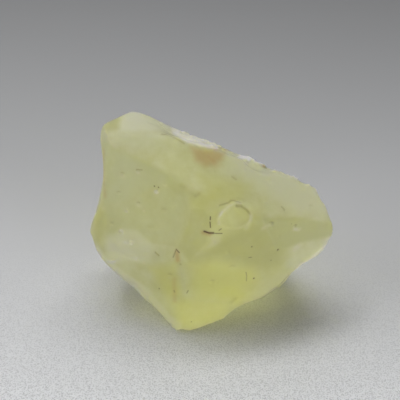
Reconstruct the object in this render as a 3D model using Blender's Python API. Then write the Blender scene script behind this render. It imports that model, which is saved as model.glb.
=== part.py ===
"""A piece of Libyan desert glass: one natural lump of pale silica glass, broken in flat and scooped
faces, with wind-worn ridges, small pits and a chipped crest. It lies on a small flat of its underside.

Working frame, in millimetres: +X to the right, +Y away from the viewer, +Z up, with the front toe of
the stone at the origin. The finished object is moved so that its origin is under the middle of its box.
"""

import math
import random

import bmesh
import bpy
import numpy as np
from mathutils import Vector, noise

COLLECTION_NAME = "libyan_desert_glass_piece"
PIECE_NAME = "desert_glass"
MM = 0.001

# Every point of the surface is seen from the heart, so the surface is one distance for each direction.
HEART = Vector((3.5, 10.0, 12.5))

# The corners of the broken block, before wear. The facets are the flat faces between them.
CORNERS = {
    # the flat cap at the top left, which ends in a blunt horn
    "horn_left": (-11.1, 14.8, 24.5),
    "horn_top": (-7.1, 18.9, 24.6),
    "horn_right": (-4.3, 17.6, 24.2),
    "cap_back": (-1.8, 14.6, 24.1),
    "cap_right": (-0.4, 11.6, 24.3),
    "cap_left": (-10.0, 12.2, 24.7),
    # the crest, falling to the right
    "crest_mid": (5.5, 14.1, 21.2),
    "crest_right": (13.5, 12.3, 18.95),
    "shoulder": (19.0, 10.0, 17.3),
    # the right end
    "tip": (21.7, 7.0, 11.2),
    "tip_low": (18.9, 7.0, 7.0),
    "crown_tip": (19.5, 6.2, 14.2),
    # the front ridges
    "brow_left": (-9.4, 10.6, 23.8),
    "brow_right": (2.4, 4.4, 20.0),
    "crown_front": (10.5, 2.9, 16.9),
    # the cheek and the belly below them
    "cheek_right": (1.1, 2.7, 15.4),
    "cheek_bottom": (-2.8, 2.3, 10.9),
    "cheek_low": (-10.9, 5.4, 8.0),
    "belly_mid": (3.5, 1.2, 12.0),
    # the left lobe, which overhangs
    "lobe": (-13.7, 9.0, 10.4),
    "lip": (-10.8, 6.0, 6.7),
    # the underside
    "toe": (-0.4, -0.95, -0.1),
    "toe_left": (-2.9, 1.1, 0.6),
    "toe_right": (6.7, 2.5, 0.0),
    "heel": (14.5, 9.5, 0.0),
    "base_left": (-4.5, 7.0, 0.0),
    "back_low_left": (-3.5, 16.5, 0.0),
    "back_low_right": (12.0, 17.0, 0.0),
    # the back
    "back_left": (-11.5, 18.0, 12.0),
    "back_mid": (3.0, 22.5, 10.0),
    "back_right": (16.0, 13.4, 9.5),
    "back_high": (-2.0, 21.0, 20.5),
}
FACET_MERGE = math.radians(8)  # hull faces that meet at less than this are one facet

# How sharp the ridges are: the power of the soft minimum of the facets' distances.
RIDGE_SHARPNESS = 60

# Shell-like scoops: deepest point, heading and rise in degrees of the way out, radius.
# Heading 0 looks at the viewer, +90 to the right, -90 to the left and 180 to the back.
SCOOPS = {
    "cheek": ((-4.5, 7.15, 16.5), -24.5, 18.2, 19.0),
    "waist": ((-10.6, 12.0, 16.3), -95, 8, 12.0),
    "right_hollow": ((16.3, 6.0, 11.2), 24, -2, 12.0),
    "sole": ((8.1, 4.95, 1.1), 40, -50, 4.5),
    "cap_step": ((-1.2, 14.0, 23.25), 142, 48, 9.0),
    "heel_bite": ((16.25, 7.4, 5.6), 55, -39, 7.0),
    "lip_bite": ((-6.65, 3.8, 4.15), -60, -40, 6.0),
    "toe_bite": ((-3.7, 2.35, 2.0), -60, -40, 7.0),
    "rim_bevel": ((-6.2, 3.3, 4.65), -45, -22, 40.0),
    "back_hollow": ((7.3, 16.5, 15.5), 150, 22, 16.0),
    "left_back_hollow": ((-5.9, 20.4, 15.0), -138, 10, 18.0),
    "under_hollow": ((-5.9, 11.2, 3.7), -97, -43, 14.0),
}

# The crushed crest: small bites of random size, one after another along the top ridge.
CREST = ("horn_right", "cap_back", "crest_mid", "crest_right", "shoulder")
BITE_SPACING = 1.5
BITE_RADII = (1.8, 6.5)
BITE_DEPTHS = (0.1, 0.55)
BITE_SEED = 7

# Small wind-worn pits on the front: middle, radius, depth.
PITS = [
    ((-8.0, 9.1, 20.0), 0.6, 0.14),
    ((-5.8, 8.6, 20.9), 0.55, 0.12),
    ((-3.3, 7.3, 18.9), 0.9, 0.2),
    ((-5.9, 7.7, 16.0), 0.7, 0.14),
    ((-8.5, 6.4, 12.0), 0.9, 0.12),
    ((-7.1, 5.5, 11.1), 0.5, 0.1),
    ((2.8, 4.4, 19.8), 0.5, 0.12),
    ((15.3, 4.8, 14.4), 0.8, 0.18),
    ((7.5, 7.8, 20.2), 0.5, 0.1),
    ((11.1, 3.1, 15.7), 0.6, 0.1),
]
# Pits of random size and place on the back and the underside.
BACK_PITS = 22
BACK_PIT_RADII = (0.4, 1.6)
BACK_PIT_DEPTH_SHARE = 0.12
BACK_PIT_SEED = 3

# The round mark where a flake nearly came off: a low raised disc with a groove along part of its rim.
RING_MIDDLE = Vector((7.0, 3.2, 17.6))
RING_FACING = (8, 42)
RING_HALF_WIDTH, RING_HALF_HEIGHT = 2.4, 1.9
RING_LIFT, RING_STEP = 0.12, 0.12
RING_GROOVE, RING_GROOVE_WIDTH = 0.14, 0.1
RING_GROOVE_TOWARDS = math.radians(40)

# Long low waves of the worn faces.
WAVE_HEIGHT = 0.1
WAVE_LENGTH = 5.0

SPHERE_SUBDIVISIONS = 7
TRIANGLES = 8600
REST_LEVEL = 0.25  # the underside is worn to a flat at this height of the working frame
SHARP_EDGE = math.radians(35)
NO_HIT = 1e6  # the distance given where a direction misses a scoop
LEAST_NEARNESS = 1e-6  # keeps facets that a direction never meets out of the blend

GLASS_COLOR = (0.52, 0.54, 0.24, 1.0)
GLASS_ROUGHNESS = 0.45
GLASS_IOR = 1.46


def outward(heading, rise):
    """The unit vector of a heading and a rise in degrees."""
    heading, rise = math.radians(heading), math.radians(rise)
    flat = math.cos(rise)
    return Vector((math.sin(heading) * flat, -math.cos(heading) * flat, math.sin(rise)))


def facets():
    """Normals and distances from the heart of the flat faces between the corners."""
    block = bmesh.new()
    for place in CORNERS.values():
        block.verts.new(place)
    hull = bmesh.ops.convex_hull(block, input=block.verts)
    inside = [item for item in hull["geom_interior"] if isinstance(item, bmesh.types.BMVert)]
    bmesh.ops.delete(block, geom=inside, context="VERTS")
    bmesh.ops.dissolve_limit(
        block, angle_limit=FACET_MERGE, verts=block.verts, edges=block.edges
    )
    bmesh.ops.recalc_face_normals(block, faces=block.faces)
    normals = np.array([face.normal for face in block.faces])
    middles = np.array([face.calc_center_median_weighted() for face in block.faces])
    block.free()
    return normals, ((middles - np.array(HEART)) * normals).sum(axis=1)


def crest_bites():
    """The scoops of the crushed crest, in the form of SCOOPS, at even steps along the top ridge."""
    chance = random.Random(BITE_SEED)
    bites = []
    for start, end in zip(CREST, CREST[1:]):
        start, end = Vector(CORNERS[start]), Vector(CORNERS[end])
        count = round((end - start).length / BITE_SPACING)
        for step in range(count):
            place = start.lerp(end, (step + chance.uniform(0.2, 0.8)) / count)
            heading, rise = chance.uniform(60, 200), chance.uniform(35, 75)
            depth = chance.uniform(*BITE_DEPTHS)
            deepest = place - outward(heading, rise) * depth
            bites.append((deepest, heading, rise, chance.uniform(*BITE_RADII)))
    return bites


def entry(directions, middle, radius):
    """How far from the heart each direction enters a sphere, or a very long way where it misses."""
    middle = np.array(middle - HEART)
    along = directions @ middle
    left = along**2 - (middle @ middle - radius**2)
    meets = (left > 0) & (along > 0)
    return np.where(meets, along - np.sqrt(np.maximum(left, 0)), NO_HIT)


def broken_surface(directions):
    """The distance from the heart to the facets and scoops, for each unit vector."""
    normals, reaches = facets()
    nearness = [np.maximum(directions @ normals.T / reaches, LEAST_NEARNESS)]
    for deepest, heading, rise, radius in [*SCOOPS.values(), *crest_bites()]:
        middle = Vector(deepest) + outward(heading, rise) * radius
        nearness.append(1 / entry(directions, middle, radius)[:, None])
    nearness = np.concatenate(nearness, axis=1)
    most = nearness.max(axis=1, keepdims=True)
    blend = ((nearness / most) ** RIDGE_SHARPNESS).sum(axis=1) ** (1 / RIDGE_SHARPNESS)
    return 1 / (most[:, 0] * blend)


def back_pits(directions, distances):
    """Pits like PITS, at random points of the back and the underside."""
    chance = random.Random(BACK_PIT_SEED)
    hidden = [index for index, way in enumerate(directions) if way[1] > -0.1]
    for index in chance.sample(hidden, BACK_PITS):
        radius = chance.uniform(*BACK_PIT_RADII)
        middle = np.array(HEART) + directions[index] * distances[index]
        yield middle, radius, radius * BACK_PIT_DEPTH_SHARE


def ring_mark(points):
    """How far each point is lifted by the round mark."""
    facing = outward(*RING_FACING)
    across = Vector((0, 0, 1)).cross(facing).normalized()
    offset = points - np.array(RING_MIDDLE)
    right = offset @ np.array(across) / RING_HALF_WIDTH
    up = offset @ np.array(facing.cross(across)) / RING_HALF_HEIGHT
    out = np.hypot(right, up)
    disc = RING_LIFT * (1 - np.tanh((out - 1) / RING_STEP)) / 2
    side = 0.5 + 0.5 * np.cos(np.arctan2(up, right) - RING_GROOVE_TOWARDS)
    near = np.linalg.norm(offset, axis=1) < 2 * RING_HALF_WIDTH
    return near * (disc - RING_GROOVE * side * np.exp(-(((out - 1) / RING_GROOVE_WIDTH) ** 2)))


def pit(points, middle, radius, depth):
    """How far each point sinks in the pit on the ray from the heart through its middle."""
    way = np.array((Vector(middle) - HEART).normalized())
    offset = points - np.array(HEART)
    along = offset @ way
    away = np.linalg.norm(offset - along[:, None] * way, axis=1) / radius
    return (along > 0) * depth * np.maximum(1 - away**2, 0) ** 2


def surface(directions):
    """The distance from the heart to the finished surface, for each unit vector."""
    distances = broken_surface(directions)
    points = np.array(HEART) + directions * distances[:, None]
    relief = ring_mark(points)
    for middle, radius, depth in [*PITS, *back_pits(directions, distances)]:
        relief -= pit(points, middle, radius, depth)
    waves = [noise.noise(Vector(point) / WAVE_LENGTH) for point in points]
    return distances + relief + WAVE_HEIGHT * np.array(waves)


def glass_material():
    material = bpy.data.materials.new("desert_glass")
    material.use_nodes = True
    shader = material.node_tree.nodes["Principled BSDF"]
    shader.inputs["Base Color"].default_value = GLASS_COLOR
    shader.inputs["Roughness"].default_value = GLASS_ROUGHNESS
    shader.inputs["IOR"].default_value = GLASS_IOR
    return material


def shaped_sphere():
    """A mesh sphere around the heart, with each point moved out to the surface."""
    ball = bmesh.new()
    bmesh.ops.create_icosphere(ball, subdivisions=SPHERE_SUBDIVISIONS, radius=1)
    directions = np.array([vert.co.normalized() for vert in ball.verts])
    for vert, direction, distance in zip(ball.verts, directions, surface(directions)):
        vert.co = (HEART + Vector(direction) * distance) * MM
    mesh = bpy.data.meshes.new(PIECE_NAME)
    ball.to_mesh(mesh)
    ball.free()
    return mesh


def thin_out(piece):
    """Brings the object's mesh down to about TRIANGLES, which keeps the ridges and pits."""
    thin = piece.modifiers.new("thin", "DECIMATE")
    thin.ratio = TRIANGLES / len(piece.data.polygons)
    bpy.context.view_layer.update()
    graph = bpy.context.evaluated_depsgraph_get()
    dense = piece.data
    piece.data = bpy.data.meshes.new_from_object(piece.evaluated_get(graph))
    piece.data.name = PIECE_NAME
    piece.modifiers.clear()
    bpy.data.meshes.remove(dense)


def wear_flat_below(stone):
    """Cuts the underside off at REST_LEVEL and closes it with one flat face."""
    cut = bmesh.ops.bisect_plane(
        stone,
        geom=stone.verts[:] + stone.edges[:] + stone.faces[:],
        plane_co=(0, 0, REST_LEVEL * MM),
        plane_no=(0, 0, -1),
        clear_outer=True,
    )
    rim = [item for item in cut["geom_cut"] if isinstance(item, bmesh.types.BMEdge)]
    bmesh.ops.contextual_create(stone, geom=rim)
    bmesh.ops.recalc_face_normals(stone, faces=stone.faces)


def centre_on_flat(stone):
    """Puts the middle of the box's underside at the origin."""
    places = np.array([vert.co for vert in stone.verts])
    low, high = places.min(axis=0), places.max(axis=0)
    middle = Vector(((low[0] + high[0]) / 2, (low[1] + high[1]) / 2, low[2]))
    bmesh.ops.translate(stone, verts=stone.verts, vec=-middle)


def desert_glass(collection):
    """The whole stone, as one closed mesh."""
    piece = bpy.data.objects.new(PIECE_NAME, shaped_sphere())
    collection.objects.link(piece)
    thin_out(piece)
    stone = bmesh.new()
    stone.from_mesh(piece.data)
    wear_flat_below(stone)
    centre_on_flat(stone)
    stone.to_mesh(piece.data)
    stone.free()
    piece.data.shade_smooth()
    piece.data.set_sharp_from_angle(angle=SHARP_EDGE)
    piece.data.materials.append(glass_material())


def main():
    for old in list(bpy.data.objects):
        bpy.data.objects.remove(old)
    collection = bpy.data.collections.new(COLLECTION_NAME)
    bpy.context.scene.collection.children.link(collection)
    desert_glass(collection)


main()
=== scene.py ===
"""A piece of Libyan desert glass, laid out as a Blender add-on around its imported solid.

Lengths in the lists below are millimetres in the stone's working frame: X runs to the right, Y
away from the viewer and Z up, with the toe of the stone at the origin. Places of marks are pixels
across and down the 400 pixel view of the stage camera, and are carried onto the stone along the
line of sight.
"""

import math
import random

import bmesh
import bpy
import numpy as np
from bpy.props import FloatProperty, FloatVectorProperty, PointerProperty
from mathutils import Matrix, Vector, noise
from mathutils.bvhtree import BVHTree


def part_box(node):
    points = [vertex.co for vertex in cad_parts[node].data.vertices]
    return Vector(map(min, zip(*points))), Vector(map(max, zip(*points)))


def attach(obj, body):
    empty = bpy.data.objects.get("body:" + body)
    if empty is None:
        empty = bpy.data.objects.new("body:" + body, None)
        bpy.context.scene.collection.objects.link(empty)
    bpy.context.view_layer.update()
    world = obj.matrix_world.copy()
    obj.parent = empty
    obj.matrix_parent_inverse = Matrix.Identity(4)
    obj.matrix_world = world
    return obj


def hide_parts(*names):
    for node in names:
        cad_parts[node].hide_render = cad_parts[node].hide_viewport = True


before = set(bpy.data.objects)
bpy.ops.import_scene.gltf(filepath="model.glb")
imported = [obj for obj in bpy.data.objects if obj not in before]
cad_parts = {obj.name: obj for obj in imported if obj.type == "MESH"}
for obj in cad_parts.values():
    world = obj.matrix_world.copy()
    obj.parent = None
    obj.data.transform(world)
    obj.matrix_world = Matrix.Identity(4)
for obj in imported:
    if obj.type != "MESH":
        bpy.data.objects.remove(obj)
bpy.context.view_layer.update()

bl_info = {
    "name": "Libyan Desert Glass Piece",
    "version": (1, 0, 0),
    "blender": (4, 5, 0),
    "location": "3D View > Sidebar > Desert Glass",
    "description": "Builds a wind-worn piece of Libyan desert glass and a plain stage for it",
    "category": "Add Mesh",
}

NODE = "desert_glass"
PIECE = "desert_glass_stone"
MM = 0.001

# ---------------- the block

HEART = Vector((3.5, 10.0, 12.5))  # a point deep in the stone that every part of its surface faces
CORNERS = {
    # the flat cap at the top left, which ends in a blunt horn
    "horn_left": (-11.1, 14.8, 24.5),
    "horn_top": (-7.1, 18.9, 24.6),
    "horn_right": (-4.3, 17.6, 24.2),
    "cap_back": (-1.8, 14.6, 24.1),
    "cap_right": (-0.4, 11.6, 24.3),
    "cap_left": (-10.0, 12.2, 24.7),
    # the crest, falling to the right
    "crest_mid": (5.5, 14.1, 21.2),
    "crest_right": (13.5, 12.3, 18.95),
    "shoulder": (19.0, 10.0, 17.3),
    # the right end
    "tip": (21.7, 7.0, 11.2),
    "tip_low": (18.9, 7.0, 7.0),
    "crown_tip": (19.5, 6.2, 14.2),
    # the front ridges
    "brow_left": (-9.4, 10.6, 23.8),
    "brow_right": (2.4, 4.4, 20.0),
    "crown_front": (10.5, 2.9, 16.9),
    # the cheek and the belly below them
    "cheek_right": (1.1, 2.7, 15.4),
    "cheek_bottom": (-2.8, 2.3, 10.9),
    "cheek_low": (-10.9, 5.4, 8.0),
    "belly_mid": (3.5, 1.2, 12.0),
    # the left lobe, which overhangs
    "lobe": (-13.7, 9.0, 10.4),
    "lip": (-10.8, 6.0, 6.7),
    # the underside
    "toe": (-0.4, -0.95, -0.1),
    "toe_left": (-2.9, 1.1, 0.6),
    "toe_right": (6.7, 2.5, 0.0),
    "heel": (14.5, 9.5, 0.0),
    "base_left": (-4.5, 7.0, 0.0),
    "back_low_left": (-3.5, 16.5, 0.0),
    "back_low_right": (12.0, 17.0, 0.0),
    # the back
    "back_left": (-11.5, 18.0, 12.0),
    "back_mid": (3.0, 22.5, 10.0),
    "back_right": (16.0, 13.4, 9.5),
    "back_high": (-2.0, 21.0, 20.5),
}
FACET_MERGE = math.radians(8)  # hull faces that meet at less than this are one facet

# Ridges are the soft minimum of the distances to the facets: a high power is a crisp ridge.
RIDGE_SHARPNESS = 60
# Where the wind has rounded a ridge away: middle, radius, power there.
WORN_RIDGE = ((7.0, 3.2, 17.0), 7.0, 14)

# Shell-like scoops: deepest point, heading and rise in degrees of the way out, radius.
# Heading 0 looks at the viewer, +90 to the right, -90 to the left and 180 to the back.
SCOOPS = {
    "cheek": ((-4.5, 7.15, 16.5), -24.5, 18.2, 19.0),
    "waist": ((-10.6, 12.0, 16.3), -95, 8, 12.0),
    "right_hollow": ((16.3, 6.0, 11.2), 24, -2, 12.0),
    "sole": ((8.1, 4.95, 1.1), 40, -50, 4.5),
    "cap_step": ((-1.2, 14.0, 23.25), 142, 48, 9.0),
    "heel_bite": ((16.25, 7.4, 5.6), 55, -39, 7.0),
    "lip_bite": ((-6.65, 3.8, 4.15), -60, -40, 6.0),
    "toe_bite": ((-3.7, 2.35, 2.0), -60, -40, 7.0),
    "rim_bevel": ((-6.2, 3.3, 4.65), -45, -22, 40.0),
    "back_hollow": ((7.3, 16.5, 15.5), 150, 22, 16.0),
    "left_back_hollow": ((-5.9, 20.4, 15.0), -138, 10, 18.0),
    "under_hollow": ((-5.9, 11.2, 3.7), -97, -43, 14.0),
}

# The crushed crest: small bites of random size, one after another along the top ridge.
CREST = ("horn_right", "cap_back", "crest_mid", "crest_right", "shoulder")
BITE_SPACING = 1.5
BITE_PLACES = (0.2, 0.8)  # how far along its own step each bite may lie
BITE_HEADINGS, BITE_RISES = (60, 200), (35, 75)
BITE_RADII = (1.8, 6.5)
BITE_DEPTHS = (0.1, 0.55)
BITE_SEED = 7

WAVE_LENGTH = 5.0
REST_LEVEL = 0.25  # the underside is worn to a flat at this height of the working frame
SPHERE_SUBDIVISIONS = 7
FINE_CONE = math.radians(64)  # the side within this angle of the stage camera has a finer mesh
SHARP_EDGE = math.radians(50)
NO_HIT = 1e6  # the distance given where a direction misses a scoop
LEAST_NEARNESS = 1e-6  # keeps facets that a direction never meets out of the blend

# ---------------- the marks

# Outlines that two kinds of tint share.
LEFT_STRIP = [(100, 200), (101, 150), (103, 128), (107, 140), (114, 149), (111, 164), (109, 198)]
RIGHT_WEDGE = [(262, 218), (300, 218), (336, 223), (336, 235), (300, 243), (288, 248), (276, 250)]
ABOVE_SCAR = [(200, 176), (250, 186), (240, 200), (214, 208), (200, 214), (190, 204), (206, 190)]

# Broad patches of tint: an outline in view pixels, the softness of its edge in pixels, strength.
PATCHES = {}
# Milky glass under the frosted skin, and painted light: paler tops that face the light and a
# painted glow along the lower rims.
PATCHES["veil"] = [
    # the cap, painted light on its top face
    ([(118, 131), (120, 122), (128, 104), (154, 104), (178, 124), (164, 131), (140, 131)], 3, 1.0),
    # under the cap
    ([(113, 148), (106, 133), (118, 132), (160, 133), (150, 150), (130, 152)], 9, 0.35),
    # the top of the cheek
    ([(113, 150), (140, 160), (150, 175), (130, 196), (110, 196)], 9, 0.5),
    # the crown, painted light on its faces that turn up to the light
    ([(222, 146), (262, 150), (330, 180), (334, 216), (292, 214), (262, 192), (232, 172)], 12, 1.0),
    # the film low on the cheek
    ([(107, 262), (106, 242), (122, 229), (136, 231), (152, 244), (150, 262)], 4, 1.0),
    # the right of the cheek
    ([(150, 244), (142, 220), (160, 214), (180, 214), (180, 232), (172, 246), (154, 256)], 10, 0.2),
    # the left of the cheek
    ([(115, 150), (126, 158), (120, 184), (112, 180)], 6, 0.35),
    # the lower right face, painted light where it turns up to the light
    ([(262, 300), (276, 276), (288, 250), (300, 244), (335, 234), (330, 250), (300, 272)], 6, 0.3),
    # its foot
    ([(252, 300), (262, 282), (284, 270), (292, 278), (270, 296)], 6, 0.5),
    # the pale patch
    ([(206, 250), (212, 240), (210, 235), (222, 235), (221, 242), (214, 246)], 1.5, 0.6),
    # the right wedge
    ([(262, 218), (300, 218), (336, 223), (336, 235), (300, 243), (288, 248)], 2.5, 0.6),
    # a painted glow along the lower left rim
    ([(96, 244), (105, 256), (127, 274), (146, 287), (160, 303),
      (170, 315), (182, 323), (182, 340), (120, 320), (92, 262)], 2, 1.0),
]
# Crushed and bruised glass, white with tiny cracks, and a painted highlight along the lower left
# rim.
PATCHES["frost"] = [
    # the film low on the cheek
    ([(108, 260), (107, 240), (124, 230), (138, 232), (150, 244), (148, 259)], 5, 0.45),
    # the left of the crest
    ([(172, 124), (190, 130), (204, 136), (222, 144), (217, 151),
      (206, 148), (196, 145), (188, 144), (180, 139), (170, 133)], 2.5, 0.9),
    # its middle
    ([(240, 150), (262, 156), (274, 164), (270, 168),
      (260, 166), (246, 162), (236, 158)], 2.5, 0.75),
    # its right
    ([(286, 170), (298, 174), (302, 180), (296, 182), (286, 178)], 2.5, 0.6),
    # the pale patch
    ([(206, 248), (211, 242), (210, 237), (220, 236), (220, 242), (213, 247)], 2, 0.45),
    # a painted highlight along the lower left rim
    ([(96, 245), (104, 258), (126, 276), (145, 289), (159, 305),
      (169, 317), (181, 325), (181, 340), (120, 320), (92, 262)], 2, 0.4),
]
# Rust that has soaked in.
PATCHES["rust"] = [
    # under the crest
    ([(191, 147), (203, 149), (216, 150), (225, 153),
      (222, 160), (215, 165), (205, 166), (196, 161)], 5, 0.65),
]
# Clear, deeper yellow glass, and a painted glow where light comes out through the belly and the
# toe.
PATCHES["honey"] = [
    # the painted glow of the belly
    ([(190, 264), (214, 256), (256, 264), (262, 282), (240, 304), (196, 300)], 15, 0.85),
    # the painted glow of the toe
    ([(170, 300), (200, 296), (236, 300), (222, 322), (180, 332)], 9, 0.5),
    (ABOVE_SCAR, 10, 0.35),
    # left of the glow
    ([(150, 268), (176, 262), (182, 296), (168, 300)], 6, 0.5),
    # right of the glow
    ([(250, 262), (282, 262), (292, 280), (262, 296), (246, 284)], 7, 0.3),
    # around the scar
    ([(204, 214), (232, 200), (256, 210), (262, 240),
      (250, 262), (216, 262), (196, 250)], 10, 0.35),
    # the left edge
    ([(88, 240), (90, 215), (102, 205), (108, 225), (102, 245)], 5, 0.4),
]
# Painted shade: duller green glass on the faces that turn down or away from the light.
PATCHES["moss"] = [
    # the left edge
    ([(89, 224), (97, 205), (108, 214), (104, 236), (96, 246)], 4, 0.5),
    (RIGHT_WEDGE, 2.5, 0.9),
    # above the glow
    ([(262, 219), (288, 248), (280, 266), (256, 268), (222, 258), (196, 258), (224, 236)], 9, 0.8),
    # right of the cheek
    ([(190, 208), (187, 225), (176, 247), (190, 262), (206, 244), (212, 222), (204, 208)], 3, 0.5),
    # under the brow
    ([(120, 149), (144, 160), (180, 179), (196, 194), (184, 200), (158, 182), (140, 170)], 3, 0.45),
    (LEFT_STRIP, 1.5, 0.4),
    # the horn
    ([(102, 128), (110, 117), (118, 116), (119, 129), (107, 132)], 4, 0.9),
    # left of the glow
    ([(148, 262), (176, 262), (184, 300), (168, 304)], 7, 0.25),
    (ABOVE_SCAR, 10, 0.35),
    # the whole cheek
    ([(114, 149), (127, 152), (146, 161), (166, 171), (182, 181),
      (197, 196), (188, 222), (177, 247), (152, 243), (138, 230),
      (122, 228), (104, 236), (101, 205), (110, 170)], 1.5, 0.3),
]
# Painted shade: cooler, greyer glass on faces in shade.
PATCHES["sage"] = [
    (RIGHT_WEDGE, 2.5, 0.22),
    # the top of the cheek
    ([(112, 149), (127, 152), (146, 161), (182, 181), (150, 190), (128, 202), (104, 206)], 6, 0.45),
    # the middle of the cheek
    ([(104, 206), (128, 198), (160, 186), (186, 196), (176, 236), (150, 240), (106, 236)], 8, 0.3),
    (LEFT_STRIP, 2, 0.4),
    # the brow
    ([(118, 131), (160, 134), (170, 150), (150, 152), (118, 142)], 7, 0.25),
]

# Lines, specks and stains: a route of view pixels, half width in mm, lift in mm (below zero is
# sunk), strength.
MARKS = {}
# Dark brown films and grains of iron oxide.
MARKS["iron"] = [
    # the film under the scar
    ([(204.3, 231.4), (209, 233), (213.4, 233)], 0.14, -0.02, 1),
    ([(213.4, 233.2), (217, 233.4), (222, 233.4)], 0.07, 0, 0.8),
    ([(210.4, 216.8), (210.2, 220)], 0.08, 0, 0.95),
    ([(210, 222.2), (210.4, 227.4)], 0.08, 0, 0.95),
    ([(219, 230.4), (221.2, 228.8)], 0.07, 0, 0.7),
    # two grains on the cheek
    ([(154.4, 186.2)], 0.1, -0.02, 1),
    ([(158.5, 187.4)], 0.1, -0.02, 1),
    # grains and short films at the right
    ([(278.2, 250)], 0.16, -0.03, 1),
    ([(251.8, 246.8)], 0.11, -0.02, 0.8),
    ([(271, 260.2)], 0.09, 0, 0.6),
    ([(248.8, 257.5), (251.4, 257.3)], 0.08, 0, 0.6),
    ([(253.8, 278.4)], 0.13, -0.02, 0.95),
    ([(246, 272.3), (246.8, 276), (246.3, 281)], 0.07, -0.03, 0.5),
    # grains above the toe
    ([(159.2, 288.6)], 0.1, -0.02, 0.7),
    ([(174, 290.5), (174.6, 292)], 0.09, 0, 0.5),
    ([(188.2, 290.5), (186.8, 293)], 0.08, 0, 0.55),
    ([(191.4, 321.8)], 0.1, -0.02, 0.6),
    # the tent-shaped film below the cheek
    ([(176.2, 249.3), (179.2, 252.6)], 0.1, -0.02, 0.75),
    ([(176, 250), (173.2, 257.2)], 0.1, 0, 0.5),
    # in the cracks of the crest
    ([(161.8, 133.8), (165, 134.2), (170, 134.8)], 0.08, -0.04, 0.9),
    ([(258.2, 159.8), (258.6, 161.6)], 0.08, -0.03, 0.5),
    # in a pit of the right wedge
    ([(291.6, 224)], 0.07, -0.02, 0.6),
    ([(296, 225.4)], 0.07, -0.02, 0.6),
]
# Orange rust that has soaked in.
MARKS["rust"] = [
    # under the crest
    ([(209, 157), (213, 160.5)], 0.9, 0, 0.75),
    ([(214, 150), (219, 150)], 0.25, 0, 0.6),
    ([(220, 149), (227, 151)], 0.28, 0, 0.8),
    # around the films of iron
    ([(203, 232.6), (210, 234.2)], 0.3, 0, 0.5),
    ([(177, 252), (177.6, 260)], 0.36, 0, 0.6),
    # at the crest
    ([(266.8, 165.4)], 0.22, 0, 0.7),
    # long faint runs
    ([(174.3, 280), (174.8, 301)], 0.35, 0, 0.25),
    ([(103.5, 150), (104.5, 196)], 0.35, 0, 0.3),
]
# Bruised glass, white with tiny cracks, and painted highlights on edges and on the lit walls of
# pits and of the scar's rim.
MARKS["frost"] = [
    # the splintered crest
    ([(180, 135), (187, 138), (195, 141)], 0.4, 0.25, 1),
    ([(201, 142), (208, 144), (213, 147)], 0.35, 0.2, 1),
    ([(248, 159), (256, 161), (264, 165)], 0.5, 0.3, 0.9),
    ([(274, 171), (284, 175)], 0.4, 0.15, 0.5),
    ([(289, 176), (297, 179)], 0.45, 0.15, 0.7),
    ([(308, 189), (316, 192)], 0.8, 0.5, 0.5),
    # a painted highlight along the edge of the horn
    ([(105.4, 131), (108.4, 138), (115, 147.6)], 0.16, 0.06, 0.4),
    # low on the cheek
    ([(131.4, 243.2)], 0.36, -0.02, 1),
    ([(136.5, 259)], 0.3, -0.02, 0.8),
    ([(143.6, 262.6)], 0.26, -0.02, 0.9),
    ([(109.5, 261.2), (116, 262)], 0.26, 0, 0.8),
    ([(121, 234)], 0.35, -0.04, 0.4),
    # painted highlights on the lit rim of the scar
    ([(218.8, 223.4), (218.4, 217.4), (221.8, 211.6),
      (227.6, 206.6), (234, 203.8), (239.6, 203.8)], 0.26, 0.1, 0.54),
    ([(250.2, 215), (250, 220), (248, 225), (246.2, 228)], 0.28, 0.1, 0.54),
    # the lower right face
    ([(294.8, 249.4), (299, 245.6)], 0.4, 0, 0.75),
    # specks on the cheek
    ([(126.8, 211.2)], 0.2, 0, 0.8),
    ([(144, 211)], 0.2, 0, 0.6),
    ([(103.4, 208.6)], 0.25, 0, 0.6),
    ([(172, 260.2)], 0.12, 0, 0.5),
    # painted highlights on the lit walls of pits
    ([(156.2, 192.8)], 0.42, 0, 0.75),
    ([(138.6, 173)], 0.32, 0, 0.65),
    ([(122.6, 176.6)], 0.4, 0, 0.6),
    ([(139.4, 205.8)], 0.34, 0, 0.6),
    ([(163.6, 183)], 0.5, 0, 0.25),
    ([(294.6, 229.2), (299, 229.8)], 0.32, 0, 0.75),
    ([(263, 228.4), (268, 225.6)], 0.3, 0, 0.6),
    ([(122, 231.6)], 0.45, 0, 0.7),
    # painted highlights along the lower edges of the stone
    ([(332.4, 238), (326, 246), (312, 260), (302, 266), (297, 272)], 0.26, 0, 0.8),
    ([(103, 264), (118, 277), (134, 289)], 0.16, 0, 0.5),
    ([(150, 304), (162, 320), (172, 329)], 0.16, 0, 0.5),
    ([(184, 330), (206, 324), (224, 319)], 0.16, 0, 0.4),
]
# Fine dirt held in cracks, and painted shade: a shadow under the crest's white band, the upper rims
# of pits and the rim of the scar.
MARKS["grime"] = [
    # the crack under the crest, with a painted shadow under the crest's white band
    ([(161, 134.6), (166, 135), (172, 136.4)], 0.12, -0.03, 0.4),
    ([(173.6, 137.4), (178, 139.6), (184, 143.4)], 0.15, -0.03, 0.4),
    # short scratches and specks
    ([(155.2, 252.2), (158.8, 255.6)], 0.1, -0.06, 0.7),
    ([(180.4, 264.4)], 0.16, -0.03, 0.5),
    ([(181, 185.6), (184, 187)], 0.3, -0.05, 0.2),
    ([(195.6, 196), (199, 194)], 0.25, -0.05, 0.3),
    # painted shade on the upper rim of a pit
    ([(136.6, 169.6), (142, 170)], 0.09, -0.04, 0.6),
    ([(232, 176.6), (236, 179.4)], 0.15, -0.05, 0.3),
    ([(281.6, 206.6), (284.6, 209.6)], 0.12, -0.05, 0.4),
    # painted shade on the rim of the scar
    ([(219.6, 205.4), (228.6, 202.8), (231, 200.6),
      (234, 200.6), (239.6, 202.6)], 0.13, -0.08, 0.45),
    ([(236.2, 205.8), (240.8, 206.2), (245, 209.4), (249.2, 213.6)], 0.17, -0.12, 0.55),
    # above the toe
    ([(235, 299), (231.6, 302)], 0.4, 0, 0.3),
]
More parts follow.
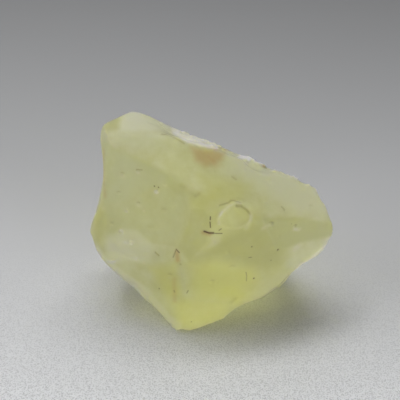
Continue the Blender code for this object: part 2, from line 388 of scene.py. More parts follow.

# Pits in the frosted skin: view pixel, radius and depth in mm, the strength of the painted shade on
# the upper wall and of the painted highlight on the lower one.
FRONT_PITS = [
    ((122.4, 174.4), 0.4, 0.2, 0.45, 0.65),
    ((138, 171.4), 0.35, 0.2, 0.5, 0.75),
    ((156.6, 190.6), 0.45, 0.25, 0, 0.85),
    ((138.6, 203.8), 0.35, 0.15, 0.4, 0.65),
    ((118.7, 193), 0.35, 0.12, 0.4, 0.4),
    ((126.6, 210.8), 0.25, 0.1, 0, 0.75),
    ((164.5, 184), 0.5, 0.1, 0, 0.4),
    ((294.8, 226.4), 0.4, 0.2, 0.5, 0.7),
    ((271, 224), 0.5, 0.15, 0.4, 0.5),
    ((131.6, 242), 0.4, 0.2, 0.1, 0.85),
    ((121, 232), 0.4, 0.15, 0, 0.7),
    ((112, 224), 0.4, 0.12, 0.2, 0.5),
    ((164, 211), 0.6, 0.1, 0.2, 0.1),
    ((150, 229), 0.7, 0.1, 0.2, 0.1),
    ((311, 207), 0.5, 0.1, 0.2, 0.1),
    ((232, 268), 0.6, 0.1, 0.3, 0),
    ((212, 282), 0.5, 0.1, 0.2, 0),
    ((170, 276), 0.5, 0.1, 0.3, 0.2),
]
PIT_UP = np.array((0, 0.57, 0.82))  # the way across a pit from its lit wall to its shaded one
PIT_WALL_GAIN, PIT_WALL_START = 4, 0.4  # how soon a wall's painted shade and highlight grow away from the pit's middle
PIT_TINT_RADIUS, PIT_TINT_EDGE = 0.9, 4  # how far out the painted shade and highlight go, and how sharply they end

# The splintered crest: a route of view pixels, the half width and height of its splinters and the
# depth that has been chipped off, in mm.
SPLINTERS = [
    ([(162, 126), (187, 134), (200, 138), (216, 145)], 0.9, 0.55, 0.14),
    ([(222, 150), (262, 162), (290, 175), (318, 190)], 0.8, 0.35, 0),
]
SPLINTER_LENGTH = 1.0
SPLINTER_LEAST = 0.02  # where a smaller share of a splinter is left, it is skipped

# The wind has softened the edges: a route of view pixels, half width in mm.
WORN_EDGES = [
    ([(150, 121), (187, 135), (222, 149), (262, 162), (318, 190)], 2.4),
    ([(240, 160), (248, 167.5), (260, 173), (278, 172)], 1.4),
    ([(149, 124), (157, 130), (165, 134), (173, 134)], 1.4),
    ([(91, 238), (90, 229), (92, 218)], 1.8),
    ([(174, 327), (182, 330), (190, 327)], 0.7),
    ([(331, 226), (331, 234), (327, 242)], 0.7),
]
WEAR_STEPS = (1.0, 0.85, 0.7, 0.55, 0.4)  # each round is narrower, so that it leaves no seam
WEAR_PASSES = 6
WEAR_FACTOR = 0.5

# Small pits of random size and place all over the stone.
STRAY_PITS = 90
STRAY_PIT_RADII = (0.25, 0.9)
STRAY_PIT_DEPTH_SHARE = 0.12
STRAY_SEED = 11

# The round mark where a flake nearly came off: a low raised disc.
RING_PLACE = (234, 215.5)
RING_HALF_WIDTH, RING_HALF_HEIGHT = 2.25, 1.75
RING_LIFT, RING_STEP = 0.2, 0.08

EDGE_STEPS = 12  # pixels that a mark may be moved inwards to meet the stone
SMALL_MARK = 0.6  # mm; marks of less half width get a finer mesh
MARK_MARGIN = 1.6  # half widths from a small mark's middle that the finer mesh reaches
MARK_SPLITS = 3
MARK_EDGE = 0.45  # the longest edge under a small mark, as a share of its half width
SHORTEST_EDGE = 0.07  # mm; no edge is split for a mark below this
SEEN_FADE = 0.3  # patches fade out between a face seen edge-on and one turned away by this cosine
FLAT_FADE = 0.3  # mm above the resting flat within which the relief fades out


def linear(code):
    """The linear RGBA of an sRGB colour given as six hex digits."""
    channels = [int(code[start : start + 2], 16) / 255 for start in (0, 2, 4)]
    curved = [c / 12.92 if c <= 0.04045 else ((c + 0.055) / 1.055) ** 2.4 for c in channels]
    return (*curved, 1.0)


class DesertGlassStone(bpy.types.PropertyGroup):
    """Sizes and colours of the stone."""

    wave_height: FloatProperty(
        name="Wave height",
        description="Height of the long low waves of the worn faces",
        default=0.1 * MM,
        unit="LENGTH",
    )
    glass_colour: FloatVectorProperty(
        name="Glass",
        description="Colour of the frosted skin of the glass",
        default=linear("e1dfc0"),
        subtype="COLOR",
        size=4,
    )
    cloud_colour: FloatVectorProperty(
        name="Cloud",
        description="Colour of the paler, milkier clouds in the glass",
        default=linear("f7f6e8"),
        subtype="COLOR",
        size=4,
    )
    deep_colour: FloatVectorProperty(
        name="Deep tint",
        description="What is left of white light after a long way through the glass",
        default=linear("f8f980"),
        subtype="COLOR",
        size=4,
    )
    # Also the colour of the painted highlights on edges, on the lit walls of pits and on the scar's
    # rim.
    frost_colour: FloatVectorProperty(
        name="Frost",
        description="Colour of bruised, finely cracked glass",
        default=linear("faf5e8"),
        subtype="COLOR",
        size=4,
    )
    rust_colour: FloatVectorProperty(
        name="Rust",
        description="Colour of iron that has soaked in",
        default=linear("c07c3a"),
        subtype="COLOR",
        size=4,
    )
    iron_colour: FloatVectorProperty(
        name="Iron",
        description="Colour of the iron oxide films and grains",
        default=linear("4e2406"),
        subtype="COLOR",
        size=4,
    )
    # Also the colour of the painted light on the cap, the crown and the lower rims.
    veil_colour: FloatVectorProperty(
        name="Veil",
        description="Colour of milky glass",
        default=linear("fdfcf6"),
        subtype="COLOR",
        size=4,
    )
    # Also the colour of the painted glow of the belly and the toe.
    honey_colour: FloatVectorProperty(
        name="Honey",
        description="Colour of clear, deeper yellow glass",
        default=linear("fdfba8"),
        subtype="COLOR",
        size=4,
    )
    # The colour of the painted shade on faces turned from the light.
    moss_colour: FloatVectorProperty(
        name="Moss",
        description="Colour of shaded, duller green glass",
        default=linear("cccb96"),
        subtype="COLOR",
        size=4,
    )
    # The colour of the cooler painted shade.
    sage_colour: FloatVectorProperty(
        name="Sage",
        description="Colour of cooler, greyer glass under a thick skin",
        default=linear("e2e6de"),
        subtype="COLOR",
        size=4,
    )
    # Also the colour of the painted shade in cracks, on the upper walls of pits and on the scar's
    # rim.
    grime_colour: FloatVectorProperty(
        name="Grime",
        description="Colour of the fine dirt in cracks and pits",
        default=linear("8a7c3c"),
        subtype="COLOR",
        size=4,
    )


class DesertGlassStage(bpy.types.PropertyGroup):
    """The floor, the lights and the camera."""

    paper_colour: FloatVectorProperty(
        name="Paper",
        description="Colour of the paper floor towards the viewer",
        default=linear("f4f5f7"),
        subtype="COLOR",
        size=4,
    )
    # Painted shade: the darkening of the far paper, in place of the light falling off.
    fade: FloatProperty(
        name="Fade",
        description="Share of the paper's colour that is left far behind the stone",
        default=0.235,
    )
    # It scales the paper's bump and the painted shade in its hollows.
    tooth: FloatProperty(
        name="Tooth",
        description="How strongly the tooth of the paper shows towards the viewer",
        default=1.0,
    )
    key_power: FloatProperty(
        name="Key",
        description="Power of the long lamp high behind the stone",
        default=0.45,
        unit="POWER",
    )
    side_power: FloatProperty(
        name="Side",
        description="Power of the lamp high at the left",
        default=0.1,
        unit="POWER",
    )
    back_power: FloatProperty(
        name="Back box",
        description="Power of the soft box behind the stone",
        default=0.175,
        unit="POWER",
    )
    left_power: FloatProperty(
        name="Left box",
        description="Power of the soft box at the left",
        default=0.37,
        unit="POWER",
    )
    right_power: FloatProperty(
        name="Right card",
        description="Power of the low soft light at the right",
        default=0.45,
        unit="POWER",
    )
    front_power: FloatProperty(
        name="Front card",
        description="Power of the low soft light in front",
        default=0.14,
        unit="POWER",
    )
    rise: FloatProperty(
        name="Camera rise",
        description="How far the camera looks down",
        default=math.radians(35),
        unit="ROTATION",
    )
    distance: FloatProperty(
        name="Camera distance",
        description="From the camera to the point that it looks at",
        default=139 * MM,
        unit="LENGTH",
    )
    lens: FloatProperty(
        name="Lens",
        description="Focal length of the camera",
        default=90,
        unit="CAMERA",
    )


# ---------------- helpers


def add_node(tree, kind, settings, inputs):
    """Adds a node with its settings. An input that is given a socket is linked to it."""
    made = tree.nodes.new(kind)
    for name, value in settings.items():
        setattr(made, name, value)
    for name, value in inputs.items():
        if isinstance(value, bpy.types.NodeSocket):
            tree.links.new(value, made.inputs[name])
        else:
            made.inputs[name].default_value = value
    return made


def outward(heading, rise):
    """The unit vector of a heading and a rise in degrees."""
    heading, rise = math.radians(heading), math.radians(rise)
    flat = math.cos(rise)
    return Vector((math.sin(heading) * flat, -math.cos(heading) * flat, math.sin(rise)))


def eased(share):
    """A share that is kept within 0 and 1 and leaves and reaches them softly."""
    share = np.clip(share, 0, 1)
    return share**2 * (3 - 2 * share)


def bell(away):
    """One at the middle, and about a third at an away of one."""
    return np.exp(-(away**2))


def bowl(away):
    """One at the middle, and nothing from an away of one."""
    return np.maximum(1 - away**2, 0) ** 2


def places_of(stone):
    """The places of the mesh's points in mm."""
    return np.array([vert.co for vert in stone.verts]) / MM


# ---------------- the camera

CAMERA_AIM = Vector((-1.427, -0.414, 14.659)) * MM
VIEW_PIXELS = 400
SENSOR_WIDTH = 36  # mm


def camera_place(stage):
    """Where the camera stands, and the directions right, up and ahead of it."""
    ahead = Vector((0, math.cos(stage.rise), -math.sin(stage.rise)))
    up = Vector((0, math.sin(stage.rise), math.cos(stage.rise)))
    return CAMERA_AIM - ahead * stage.distance, Vector((1, 0, 0)), up, ahead


def sight(stage, pixel):
    """The start and direction of the line of sight through a view pixel."""
    place, right, up, ahead = camera_place(stage)
    scale = SENSOR_WIDTH / stage.lens / VIEW_PIXELS
    across = (pixel[0] - VIEW_PIXELS / 2) * scale
    rise = (VIEW_PIXELS / 2 - pixel[1]) * scale
    return place, (ahead + right * across + up * rise).normalized()


def view_places(stage, points):
    """The view pixel of each point in mm, and the unit vectors from the points to the camera."""
    place, right, up, ahead = (np.array(part) for part in camera_place(stage))
    offset = points * MM - place
    scale = SENSOR_WIDTH / stage.lens / VIEW_PIXELS * (offset @ ahead)
    across = VIEW_PIXELS / 2 + offset @ right / scale
    down = VIEW_PIXELS / 2 - offset @ up / scale
    return np.stack([across, down], axis=1), -offset / np.linalg.norm(offset, axis=1)[:, None]


# ---------------- the stone's shape


def facets():
    """Normals and distances from the heart of the flat faces between the corners."""
    block = bmesh.new()
    for place in CORNERS.values():
        block.verts.new(place)
    hull = bmesh.ops.convex_hull(block, input=block.verts)
    inside = [item for item in hull["geom_interior"] if isinstance(item, bmesh.types.BMVert)]
    bmesh.ops.delete(block, geom=inside, context="VERTS")
    bmesh.ops.dissolve_limit(block, angle_limit=FACET_MERGE, verts=block.verts, edges=block.edges)
    bmesh.ops.recalc_face_normals(block, faces=block.faces)
    normals = np.array([face.normal for face in block.faces])
    middles = np.array([face.calc_center_median_weighted() for face in block.faces])
    block.free()
    return normals, ((middles - np.array(HEART)) * normals).sum(axis=1)


def crest_bites():
    """The scoops of the crushed crest, in the form of SCOOPS, at even steps along the top ridge."""
    chance = random.Random(BITE_SEED)
    bites = []
    for start, end in zip(CREST, CREST[1:]):
        start, end = Vector(CORNERS[start]), Vector(CORNERS[end])
        count = round((end - start).length / BITE_SPACING)
        for step in range(count):
            place = start.lerp(end, (step + chance.uniform(*BITE_PLACES)) / count)
            heading, rise = chance.uniform(*BITE_HEADINGS), chance.uniform(*BITE_RISES)
            depth = chance.uniform(*BITE_DEPTHS)
            deepest = place - outward(heading, rise) * depth
            bites.append((deepest, heading, rise, chance.uniform(*BITE_RADII)))
    return bites


def entry(directions, middle, radius):
    """How far from the heart each direction enters a sphere, or a very long way where it misses."""
    middle = np.array(middle - HEART)
    along = directions @ middle
    left = along**2 - (middle @ middle - radius**2)
    meets = (left > 0) & (along > 0)
    return np.where(meets, along - np.sqrt(np.maximum(left, 0)), NO_HIT)


def broken_surface(directions):
    """For each unit vector, the distance from the heart to the facets and scoops."""
    normals, reaches = facets()
    nearness = [np.maximum(directions @ normals.T / reaches, LEAST_NEARNESS)]
    for deepest, heading, rise, radius in [*SCOOPS.values(), *crest_bites()]:
        middle = Vector(deepest) + outward(heading, rise) * radius
        nearness.append(1 / entry(directions, middle, radius)[:, None])
    nearness = np.concatenate(nearness, axis=1)
    most = nearness.max(axis=1, keepdims=True)
    places = np.array(HEART) + directions / most
    worn_middle, worn_radius, worn_power = WORN_RIDGE
    away = np.linalg.norm(places - np.array(worn_middle), axis=1) / worn_radius
    sharpness = RIDGE_SHARPNESS + (worn_power - RIDGE_SHARPNESS) * eased(1 - away)
    blend = ((nearness / most) ** sharpness[:, None]).sum(axis=1) ** (1 / sharpness)
    return 1 / (most[:, 0] * blend)


def split_edges(mesh, edges):
    """Halves edges, and leaves only triangles."""
    bmesh.ops.subdivide_edges(mesh, edges=edges, cuts=1, use_grid_fill=True, use_single_edge=True)
    bmesh.ops.triangulate(mesh, faces=[face for face in mesh.faces if len(face.verts) > 3])


def shaped_sphere(wave_height):
    """A mesh sphere around the heart, with each point moved out to the surface."""
    ball = bmesh.new()
    bmesh.ops.create_icosphere(ball, subdivisions=SPHERE_SUBDIVISIONS, radius=1)
    viewer = -camera_place(bpy.context.scene.desert_glass_stage)[3]
    split_edges(ball, [e for e in ball.edges if e.verts[0].co.angle(viewer) < FINE_CONE])
    directions = np.array([vert.co.normalized() for vert in ball.verts])
    for vert, direction, distance in zip(ball.verts, directions, broken_surface(directions)):
        place = HEART + Vector(direction) * distance
        wave = noise.noise(place / WAVE_LENGTH) * wave_height / MM
        vert.co = (place + Vector(direction) * wave) * MM
    return ball


def wear_flat_below(stone):
    """Cuts the underside off at REST_LEVEL and closes it with one flat face."""
    cut = bmesh.ops.bisect_plane(
        stone,
        geom=stone.verts[:] + stone.edges[:] + stone.faces[:],
        plane_co=(0, 0, REST_LEVEL * MM),
        plane_no=(0, 0, -1),
        clear_outer=True,
    )
    rim = [item for item in cut["geom_cut"] if isinstance(item, bmesh.types.BMEdge)]
    bmesh.ops.contextual_create(stone, geom=rim)
    bmesh.ops.recalc_face_normals(stone, faces=stone.faces)


def fit_to_solid(stone):
    """Sets the stone exactly into its solid's box."""
    places = np.array([vert.co for vert in stone.verts])
    low, high = Vector(places.min(axis=0)), Vector(places.max(axis=0))
    solid_low, solid_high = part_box(NODE)
    ratios = [(solid_high[i] - solid_low[i]) / (high[i] - low[i]) for i in range(3)]
    bmesh.ops.translate(stone, verts=stone.verts, vec=-low)
    bmesh.ops.scale(stone, verts=stone.verts, vec=ratios)
    bmesh.ops.translate(stone, verts=stone.verts, vec=solid_low)


# ---------------- the stone's marks


def distance_to(points, route):
    """How far each point is from a route of straight stretches, or from its one place."""
    nearest = np.linalg.norm(points - route[0], axis=1)
    for start, end in zip(route, route[1:]):
        along = end - start
        share = np.clip((points - start) @ along / (along @ along), 0, 1)
        gap = np.linalg.norm(points - start - share[:, None] * along, axis=1)
        nearest = np.minimum(nearest, gap)
    return nearest


def on_stone(tree, pixel):
    """The place in mm where a view pixel's line of sight meets the stone, or the edge near it."""
    pixel, middle = Vector(pixel), Vector((VIEW_PIXELS / 2, VIEW_PIXELS / 2))
    for _ in range(EDGE_STEPS):
        place = tree.ray_cast(*sight(bpy.context.scene.desert_glass_stage, pixel))[0]
        if place is not None:
            return np.array(place) / MM
        pixel += (middle - pixel).normalized()
    raise RuntimeError(f"no stone near view pixel {pixel}")


def carried(tree, route):
    """A route of view pixels as places in mm on the stone."""
    return [on_stone(tree, pixel) for pixel in route]


def ring_lift(points, middle, normal):
    """How far each point is lifted by the round mark."""
    across = Vector((0, 0, 1)).cross(normal).normalized()
    offset = points - middle
    right = offset @ np.array(across) / RING_HALF_WIDTH
    up = offset @ np.array(normal.cross(across)) / RING_HALF_HEIGHT
    near = np.linalg.norm(offset, axis=1) < 2 * RING_HALF_WIDTH
    return near * RING_LIFT * (1 - np.tanh((np.hypot(right, up) - 1) / RING_STEP)) / 2


def stray_pits(points):
    """How far each point is sunk by the small random pits."""
    chance = random.Random(STRAY_SEED)
    sunk = np.zeros(len(points))
    for index in chance.sample(range(len(points)), STRAY_PITS):
        radius = chance.uniform(*STRAY_PIT_RADII)
        away = np.linalg.norm(points - points[index], axis=1) / radius
        sunk += radius * STRAY_PIT_DEPTH_SHARE * bowl(away)
    return sunk


def splinter_lift(points, route, half_width, height, chipped):
    """How far each point is lifted or sunk by the splinters along a route."""
    near = bell(distance_to(points, route) / half_width)
    splinters = np.zeros(len(points))
    for index in np.flatnonzero(near > SPLINTER_LEAST):
        splinters[index] = noise.cell_vector(Vector(points[index]) / SPLINTER_LENGTH).x
        splinters[index] += noise.noise(Vector(points[index]) / SPLINTER_LENGTH * 2)
    return near * (height * splinters / 2 - chipped)


def patch_share(places, outline, softness):
    """How far each view place is inside an outline: 0 to 1 across its soft edge."""
    inside = np.zeros(len(places), bool)
    for (x0, y0), (x1, y1) in zip(outline, outline[1:] + outline[:1]):
        spans = (y0 > places[:, 1]) != (y1 > places[:, 1])
        run = (x1 - x0) / (y1 - y0) if y1 != y0 else 0.0
        inside ^= spans & (places[:, 0] < x0 + run * (places[:, 1] - y0))
    ring = [np.array(corner, float) for corner in outline + outline[:1]]
    gap = distance_to(places, ring) * np.where(inside, 1, -1)
    return eased(0.5 + gap / (2 * softness))


def wear_edges(stone):
    """Smooths the stone along its worn edges."""
    tree = BVHTree.FromBMesh(stone)
    points = places_of(stone)
    away = np.full(len(points), np.inf)
    for route, half_width in WORN_EDGES:
        away = np.minimum(away, distance_to(points, carried(tree, route)) / half_width)
    for step in WEAR_STEPS:
        worn = [vert for vert, distance in zip(stone.verts, away) if distance < step]
        for _ in range(WEAR_PASSES):
            bmesh.ops.smooth_vert(
                stone, verts=worn, factor=WEAR_FACTOR,
                use_axis_x=True, use_axis_y=True, use_axis_z=True,
            )
    stone.normal_update()


def refine_marks(stone):
    """Splits the edges under the small marks, so that each has enough points to keep its shape."""
    tree = BVHTree.FromBMesh(stone)
    small = [([pixel], radius) for pixel, radius, *_ in FRONT_PITS]
    small += [(route, half_width) for marks in MARKS.values() for route, half_width, *_ in marks]
    small = [(carried(tree, route), width) for route, width in small if width < SMALL_MARK]
    for _ in range(MARK_SPLITS):
        points = places_of(stone)
        longest = np.full(len(points), np.inf)
        for route, half_width in small:
            near = distance_to(points, route) < MARK_MARGIN * half_width
            longest[near] = np.minimum(longest[near], max(half_width * MARK_EDGE, SHORTEST_EDGE))
        edges = [
            edge
            for edge in stone.edges
            if edge.calc_length() / MM > min(longest[vert.index] for vert in edge.verts)
        ]
        split_edges(stone, edges)
        stone.verts.index_update()
    stone.normal_update()


def add_marks(stone):
    """Raises and sinks the marks, and keeps each kind's strength as a layer for the material."""
    tree = BVHTree.FromBMesh(stone)
    points = places_of(stone)
    normals = np.array([vert.normal for vert in stone.verts])
    seen, towards = view_places(bpy.context.scene.desert_glass_stage, points)
    facing = np.clip(((normals * towards).sum(axis=1) + SEEN_FADE) / SEEN_FADE, 0, 1)
    amounts = {kind: np.zeros(len(points)) for kind in (*PATCHES, *MARKS)}
    lift = -stray_pits(points)

    ring_middle = on_stone(tree, RING_PLACE)
    ring_normal = tree.find_nearest(Vector(ring_middle) * MM)[1]
    lift += ring_lift(points, ring_middle, ring_normal)
    for route, half_width, height, chipped in SPLINTERS:
        lift += splinter_lift(points, carried(tree, route), half_width, height, chipped)

    for kind, patches in PATCHES.items():
        for outline, softness, strength in patches:
            share = facing * strength * patch_share(seen, outline, softness)
            amounts[kind] = np.maximum(amounts[kind], share)
    for kind, marks in MARKS.items():
        for route, half_width, rise, strength in marks:
            near = bell(distance_to(points, carried(tree, route)) / half_width)
            lift += rise * near
            amounts[kind] = np.maximum(amounts[kind], strength * near)
    # Each front pit is sunk, with painted shade on its upper wall and a painted highlight on its
    # lower wall.
    for pixel, radius, depth, shade, shine in FRONT_PITS:
        offset = points - on_stone(tree, pixel)
        away = np.linalg.norm(offset, axis=1) / radius
        lift -= depth * bowl(away)
        near = np.exp(-((away / PIT_TINT_RADIUS) ** PIT_TINT_EDGE))
        above = offset @ PIT_UP / radius
        for kind, side, most in (("frost", -above, shine), ("grime", above, shade)):
            wall = np.clip(side * PIT_WALL_GAIN - PIT_WALL_START, 0, 1)
            amounts[kind] = np.maximum(amounts[kind], most * wall * near)

    for kind, amount in amounts.items():
        layer = stone.verts.layers.float.new(kind)
        for vert, value in zip(stone.verts, amount):
            vert[layer] = value
    low, high = (np.array(corner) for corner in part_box(NODE))
    lift *= np.clip(points[:, 2] / FLAT_FADE, 0, 1)
    places = np.clip((points + normals * lift[:, None]) * MM, low, high)
    for vert, place in zip(stone.verts, places):
        vert.co = place


# ---------------- materials

MIX_FACTOR, MIX_A, MIX_B, MIX_RESULT = 0, 6, 7, 2  # the sockets of a Mix node for colours

# Natural silica glass, frosted by blown sand: satin, cloudy and pale yellow-green, with a deeper
# yellow glow where light has come a long way through it.
GLASS_IOR = 1.46
GLASS_ROUGHNESS = 0.6
GLASS_TRANSMISSION = 0.7
GLASS_ABSORPTION = 78.0  # per metre at a tint of black
SCATTER_WEIGHT = 0.6  # the share of the skin's own colour that comes from light spread below it
SCATTER_REACH = (2.5, 2.6, 0.9)  # mm that red, green and blue light spread
DUST_SHEEN, DUST_SHEEN_ROUGHNESS = 0.2, 0.4
CLOUD_SIZE = 1.8 * MM
CLOUD_DETAIL, CLOUD_ROUGHNESS = 4.0, 0.6
CLOUD_CLEAR, CLOUD_FULL = 0.25, 0.75  # the noise that leaves the glass clear, and that clouds it
GRAIN_SIZE = 0.35 * MM  # real frosting is too fine to show, so it is drawn at two or three pixels
GRAIN_DETAIL, GRAIN_ROUGHNESS = 3.0, 0.6
GRAIN_BUMP, GRAIN_DEPTH = 0.25, 0.05 * MM
# How much of the glass's colour each kind of mark hides at most, in the order of laying.
TINT_COVERS = dict.fromkeys(("veil", "honey", "moss", "sage", "frost", "grime"), 0.9)
TINT_COVERS |= {"rust": 0.8, "iron": 1.0}

# Bruised and iron-coated glass: the same glass, but white with tiny cracks or covered, so that
# little light goes through. The strongest painted highlights, on pit walls and edges, take this
# white glass too.
THICK_COVER_TRANSMISSION = 0.3
THICK_COVER_SLOT = 1
THICK_COVER, THICK_COVER_RAGGED = 0.55, 0.3
THICK_COVER_GRAIN = 0.4 * MM


def tinted_colour(look, tree, place):
    """The colour of the glass: soft clouds, with every kind of mark over them, painted shade,
    highlights and glow among them.
    """
    cloud = add_node(tree, "ShaderNodeTexNoise", {}, {
        "Vector": place,
        "Scale": 1 / CLOUD_SIZE,
        "Detail": CLOUD_DETAIL,
        "Roughness": CLOUD_ROUGHNESS,
    })
    milk = add_node(tree, "ShaderNodeMapRange", {}, {
        "Value": cloud.outputs["Fac"], "From Min": CLOUD_CLEAR, "From Max": CLOUD_FULL,
    })
    colour = add_node(tree, "ShaderNodeMix", {"data_type": "RGBA"}, {
        MIX_FACTOR: milk.outputs[0], MIX_A: look.glass_colour, MIX_B: look.cloud_colour,
    })
    for kind, cover in TINT_COVERS.items():
        amount = add_node(tree, "ShaderNodeAttribute", {"attribute_name": kind}, {})
        share = add_node(tree, "ShaderNodeMath", {"operation": "MULTIPLY"}, {
            0: amount.outputs["Fac"], 1: cover,
        })
        colour = add_node(tree, "ShaderNodeMix", {"data_type": "RGBA"}, {
            MIX_FACTOR: share.outputs[0],
            MIX_A: colour.outputs[MIX_RESULT],
            MIX_B: getattr(look, f"{kind}_colour"),
        })
    return colour.outputs[MIX_RESULT]


def glass_material(look, name, transmission):
    """The stone's glass, through which more or less light goes."""
    material = bpy.data.materials.new(name)
    material.use_nodes = True
    tree = material.node_tree
    tree.nodes.clear()
    place = add_node(tree, "ShaderNodeTexCoord", {}, {}).outputs["Object"]
    grain = add_node(tree, "ShaderNodeTexNoise", {}, {
        "Vector": place,
        "Scale": 1 / GRAIN_SIZE,
        "Detail": GRAIN_DETAIL,
        "Roughness": GRAIN_ROUGHNESS,
    })
    bump = add_node(tree, "ShaderNodeBump", {}, {
        "Height": grain.outputs["Fac"], "Strength": GRAIN_BUMP, "Distance": GRAIN_DEPTH,
    })
    shader = add_node(tree, "ShaderNodeBsdfPrincipled", {}, {
        "Base Color": tinted_colour(look, tree, place),
        "Roughness": GLASS_ROUGHNESS,
        "IOR": GLASS_IOR,
        "Transmission Weight": transmission,
        "Subsurface Weight": SCATTER_WEIGHT,
        "Subsurface Radius": SCATTER_REACH,
        "Subsurface Scale": MM,
        "Sheen Weight": DUST_SHEEN,
        "Sheen Roughness": DUST_SHEEN_ROUGHNESS,
        "Normal": bump.outputs["Normal"],
    })
    tint = add_node(tree, "ShaderNodeVolumeAbsorption", {}, {
        "Color": look.deep_colour, "Density": GLASS_ABSORPTION,
    })
    add_node(tree, "ShaderNodeOutputMaterial", {}, {
        "Surface": shader.outputs["BSDF"], "Volume": tint.outputs["Volume"],
    })
    return material


def bruised_and_highlit_faces(mesh):
    """The faces that bruises, iron films, grains and the strongest painted highlights cover so
    thickly that the glass is hidden.
    """
    cover = np.zeros(len(mesh.vertices))
    for kind in ("frost", "iron"):
        amount = np.empty(len(mesh.vertices), np.float32)
        mesh.attributes[kind].data.foreach_get("value", amount)
        cover = np.maximum(cover, amount)
    for face in mesh.polygons:
        ragged = noise.noise(Vector(face.center) / THICK_COVER_GRAIN) * THICK_COVER_RAGGED
        if cover[list(face.vertices)].mean() + ragged > THICK_COVER:
            yield face


# Matt backdrop paper: a fine tooth of fibres with painted shade in its hollows, and a painted fade
# from pale near the viewer to mid grey, for the light falling off.
PAPER_ROUGHNESS, PAPER_SPECULAR = 0.9, 0.2
FLOOR_NEAR, FLOOR_FAR = -26 * MM, 110 * MM  # where the fade begins, and where it is as given
FADE_CURVE = 0.74  # below one, the fade is quicker near the viewer
TOOTH_SIZE = 0.16 * MM
TOOTH_DEPTH = 0.15 * MM
TOOTH_LOW, TOOTH_HIGH = 0.3, 0.52  # the noise in the deepest hollows and on the highest fibres
TOOTH_SHADE = 0.3  # painted shade: how much darker the deepest hollows are painted
TOOTH_NEAR, TOOTH_FAR = -25 * MM, 12 * MM  # where the tooth shows fully, and where it is lost
BLACK = (0, 0, 0, 1)


def paper_material(stage):
    """The paper of the floor."""
    material = bpy.data.materials.new("matt_backdrop_paper")
    material.use_nodes = True
    tree = material.node_tree
    tree.nodes.clear()
    place = add_node(tree, "ShaderNodeTexCoord", {}, {}).outputs["Object"]
    parts = add_node(tree, "ShaderNodeSeparateXYZ", {}, {"Vector": place})
    reach = add_node(tree, "ShaderNodeMapRange", {}, {
        "Value": parts.outputs["Y"], "From Min": FLOOR_NEAR, "From Max": FLOOR_FAR,
    })
    curved = add_node(tree, "ShaderNodeMath", {"operation": "POWER"}, {
        0: reach.outputs[0], 1: FADE_CURVE,
    })
    left = add_node(tree, "ShaderNodeMath", {"operation": "POWER"}, {
        0: stage.fade, 1: curved.outputs[0],
    })
    faded = add_node(tree, "ShaderNodeMix", {"data_type": "RGBA"}, {
        MIX_FACTOR: left.outputs[0], MIX_A: BLACK, MIX_B: stage.paper_colour,
    })
    tooth = add_node(tree, "ShaderNodeTexNoise", {}, {
        "Vector": place, "Scale": 1 / TOOTH_SIZE, "Detail": 0.0,
    })
    # Painted shade in the hollows of the tooth.
    hollow = add_node(tree, "ShaderNodeMapRange", {}, {
        "Value": tooth.outputs["Fac"],
        "From Min": TOOTH_HIGH,
        "From Max": TOOTH_LOW,
        "To Max": TOOTH_SHADE,
    })
    near = add_node(tree, "ShaderNodeMapRange", {}, {
        "Value": parts.outputs["Y"],
        "From Min": TOOTH_FAR,
        "From Max": TOOTH_NEAR,
        "To Max": stage.tooth,
    })
    shade = add_node(tree, "ShaderNodeMath", {"operation": "MULTIPLY"}, {
        0: hollow.outputs[0], 1: near.outputs[0],
    })
    colour = add_node(tree, "ShaderNodeMix", {"data_type": "RGBA"}, {
        MIX_FACTOR: shade.outputs[0], MIX_A: faded.outputs[MIX_RESULT], MIX_B: BLACK,
    })
    bump = add_node(tree, "ShaderNodeBump", {}, {
        "Height": tooth.outputs["Fac"], "Strength": near.outputs[0], "Distance": TOOTH_DEPTH,
    })
    shader = add_node(tree, "ShaderNodeBsdfPrincipled", {}, {
        "Base Color": colour.outputs[MIX_RESULT],
        "Roughness": PAPER_ROUGHNESS,
        "Specular IOR Level": PAPER_SPECULAR,
        "Normal": bump.outputs["Normal"],
    })
    add_node(tree, "ShaderNodeOutputMaterial", {}, {"Surface": shader.outputs["BSDF"]})
    return material


# ---------------- operators


class DESERTGLASS_OT_stone(bpy.types.Operator):
    """Build the stone in place of its plain solid."""

    bl_idname = "desertglass.stone"
    bl_label = "Stone"

    def execute(self, context):
        look = context.scene.desert_glass_stone
        stone = shaped_sphere(look.wave_height)
        wear_flat_below(stone)
        fit_to_solid(stone)
        stone.normal_update()
        wear_edges(stone)
        refine_marks(stone)
        add_marks(stone)
        mesh = bpy.data.meshes.new(PIECE)
        stone.to_mesh(mesh)
        stone.free()
        mesh.shade_smooth()
        mesh.set_sharp_from_angle(angle=SHARP_EDGE)
        mesh.materials.append(glass_material(look, "natural_silica_glass", GLASS_TRANSMISSION))
        mesh.materials.append(glass_material(look, "bruised_silica_glass", THICK_COVER_TRANSMISSION))
        for face in bruised_and_highlit_faces(mesh):
            face.material_index = THICK_COVER_SLOT
        piece = bpy.data.objects.new(PIECE, mesh)
        context.scene.collection.objects.link(piece)
        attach(piece, "root")
        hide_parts(NODE)
        return {"FINISHED"}


FLOOR_SIDE = 3.0  # metres
FLOOR_GAP = 0.05 * MM  # the air between the stone's flat and the paper's fibres
NEAREST_SEEN = 1 * MM
LIGHTS = {  # the place of each light, which faces the stone, and its width and height
    "key": (Vector((-15, 125, 272)) * MM, 260 * MM, 60 * MM),
    "side": (Vector((-120, 50, 270)) * MM, 100 * MM, 40 * MM),
    "back": (Vector((0, 250, 160)) * MM, 220 * MM, 220 * MM),
    "left": (Vector((-270, -10, 110)) * MM, 220 * MM, 160 * MM),
    "right": (Vector((200, -215, 45)) * MM, 160 * MM, 60 * MM),
    "front": (Vector((0, -290, 50)) * MM, 160 * MM, 60 * MM),
}


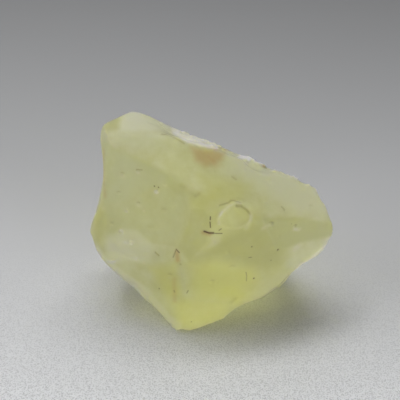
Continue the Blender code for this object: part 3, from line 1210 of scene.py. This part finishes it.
class DESERTGLASS_OT_stage(bpy.types.Operator):
    """Set up the paper floor, the soft light and the camera."""

    bl_idname = "desertglass.stage"
    bl_label = "Stage"

    def execute(self, context):
        stage = context.scene.desert_glass_stage
        sheet = bmesh.new()
        bmesh.ops.create_grid(sheet, x_segments=1, y_segments=1, size=FLOOR_SIDE / 2)
        bmesh.ops.translate(sheet, verts=sheet.verts, vec=(0, 0, -FLOOR_GAP))
        mesh = bpy.data.meshes.new("floor")
        sheet.to_mesh(mesh)
        sheet.free()
        mesh.materials.append(paper_material(stage))
        floor = bpy.data.objects.new("floor", mesh)
        context.scene.collection.objects.link(floor)

        for name, (place, width, height) in LIGHTS.items():
            light = bpy.data.lights.new(name, "AREA")
            light.energy = getattr(stage, f"{name}_power")
            light.shape = "RECTANGLE"
            light.size, light.size_y = width, height
            lamp = bpy.data.objects.new(name, light)
            lamp.location = place
            lamp.rotation_euler = place.to_track_quat("Z", "Y").to_euler()
            context.scene.collection.objects.link(lamp)

        # The lamps give all the light.
        world = bpy.data.worlds.new("room")
        world.use_nodes = True
        world.node_tree.nodes["Background"].inputs["Strength"].default_value = 0
        context.scene.world = world

        lens = bpy.data.cameras.new("camera")
        lens.lens = stage.lens
        lens.sensor_width = SENSOR_WIDTH
        lens.clip_start = NEAREST_SEEN
        camera = bpy.data.objects.new("camera", lens)
        camera.location = camera_place(stage)[0]
        camera.rotation_euler = (math.pi / 2 - stage.rise, 0, 0)
        context.scene.collection.objects.link(camera)
        context.scene.camera = camera
        context.scene.view_settings.view_transform = "Standard"
        return {"FINISHED"}


class DESERTGLASS_PT_panel(bpy.types.Panel):
    """The stone's and the stage's settings."""

    bl_label = "Desert Glass"
    bl_space_type = "VIEW_3D"
    bl_region_type = "UI"
    bl_category = "Desert Glass"

    def draw(self, context):
        for group, operator in (
            (context.scene.desert_glass_stone, DESERTGLASS_OT_stone),
            (context.scene.desert_glass_stage, DESERTGLASS_OT_stage),
        ):
            box = self.layout.box()
            for name in group.__annotations__:
                box.prop(group, name)
            box.operator(operator.bl_idname)


CLASSES = (
    DesertGlassStone,
    DesertGlassStage,
    DESERTGLASS_OT_stone,
    DESERTGLASS_OT_stage,
    DESERTGLASS_PT_panel,
)


def register():
    for kind in CLASSES:
        bpy.utils.register_class(kind)
    bpy.types.Scene.desert_glass_stone = PointerProperty(type=DesertGlassStone)
    bpy.types.Scene.desert_glass_stage = PointerProperty(type=DesertGlassStage)


def unregister():
    del bpy.types.Scene.desert_glass_stage
    del bpy.types.Scene.desert_glass_stone
    for kind in reversed(CLASSES):
        bpy.utils.unregister_class(kind)


def main():
    register()
    bpy.ops.desertglass.stone()
    bpy.ops.desertglass.stage()


if __name__ == "__main__":
    main()
